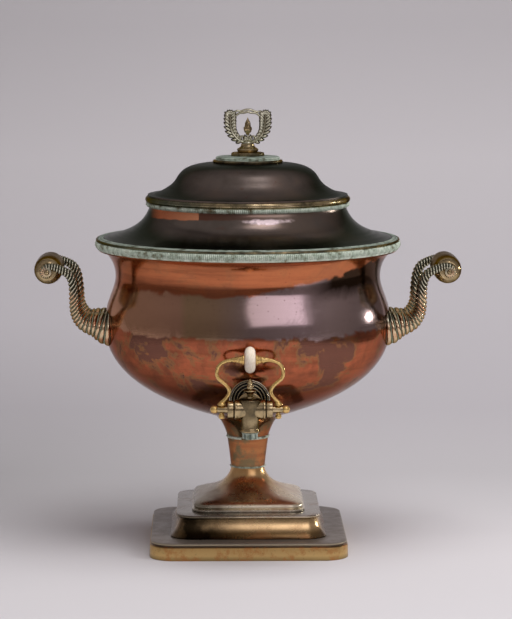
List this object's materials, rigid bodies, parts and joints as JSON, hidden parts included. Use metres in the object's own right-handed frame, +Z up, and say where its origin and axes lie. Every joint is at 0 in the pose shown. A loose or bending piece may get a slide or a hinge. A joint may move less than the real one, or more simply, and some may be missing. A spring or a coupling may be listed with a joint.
{
  "type": "tea urn",
  "caption": "Copper tea urn on a square brass plinth, with lift-off lid, wreath finial, quarter-turn tap, reeded scroll handles with barrel grips, and an iron heater in an inner tube.",
  "frame": {"origin": "middle of the outer box in plan, at the plane that the plinth stands on; the stem's axis stands 9.25 mm behind it (+Y), because the tap reaches forward", "axes": "+Z up along the stem's axis, -Y the front where the tap is, X across the two handles"},
  "size_m": [0.4234, 0.3224, 0.4369],
  "materials": {
    "copper": "worn patinated copper, polished",
    "dark_copper": "dark brown patinated copper, polished",
    "brass": "aged brass, satin",
    "patina_brass": "brass with green patina, milled",
    "ivory": "cream, polished like turned bone",
    "iron": "dark forged iron",
    "steel": "dull steel"
  },
  "bodies": {
    "urn": {"plinth_slab": "brass", "plinth_step": "brass", "foot_cushion": "brass", "stem_lower": "copper", "stem_band": "patina_brass", "stem_upper": "copper", "tie_bolt": "steel", "tie_washer": "steel", "tie_nut": "steel", "bowl": "copper", "shoulder": "dark_copper", "rim_border": "patina_brass", "handle_left_bracket": "brass", "handle_left_grip": "brass", "handle_left_grip_pin": "brass", "handle_left_rivet_a": "copper", "handle_left_rivet_b": "copper", "handle_right_bracket": "brass", "handle_right_grip": "brass", "handle_right_grip_pin": "brass", "handle_right_rivet_a": "copper", "handle_right_rivet_b": "copper", "tap_boss": "brass", "tap_body": "brass", "tap_nozzle": "patina_brass", "tap_finial": "brass", "heater_socket": "copper"},
    "lid": {"lid_dome": "dark_copper", "lid_rim": "brass", "lid_bezel": "brass", "finial_plate": "patina_brass", "finial_socle": "brass", "finial_wreath": "brass", "finial_flame": "brass", "finial_stud": "steel", "finial_nut": "brass"},
    "tap_key": {"tap_plug": "brass", "tap_roundel": "ivory", "tap_crosspin": "steel", "tap_plug_nut_right": "brass", "tap_arm_right": "brass", "tap_arm_screw_right": "brass", "tap_ferrule_right": "brass", "tap_plug_nut_left": "brass", "tap_arm_left": "brass", "tap_arm_screw_left": "brass", "tap_ferrule_left": "brass"},
    "socket_lid": {"socket_cover": "brass", "socket_cover_knob": "brass"},
    "heater": {"heater_iron": "iron"}
  },
  "joints": [
    {"name": "lid_lift", "type": "slide", "parent": "urn", "child": "lid", "axis": [0, 0, 1], "range_m": [0, 0.16]},
    {"name": "tap_turn", "type": "hinge", "parent": "urn", "child": "tap_key", "pos_m": [0, -0.14875, 0.1589], "axis": [1, 0, 0], "range_deg": [0, 90]},
    {"name": "socket_cover_lift", "type": "slide", "parent": "urn", "child": "socket_lid", "axis": [0, 0, 1], "range_m": [0, 0.05]},
    {"name": "heater_iron_lift", "type": "slide", "parent": "urn", "child": "heater", "axis": [0, 0, 1], "range_m": [0, 0.03]}
  ]
}
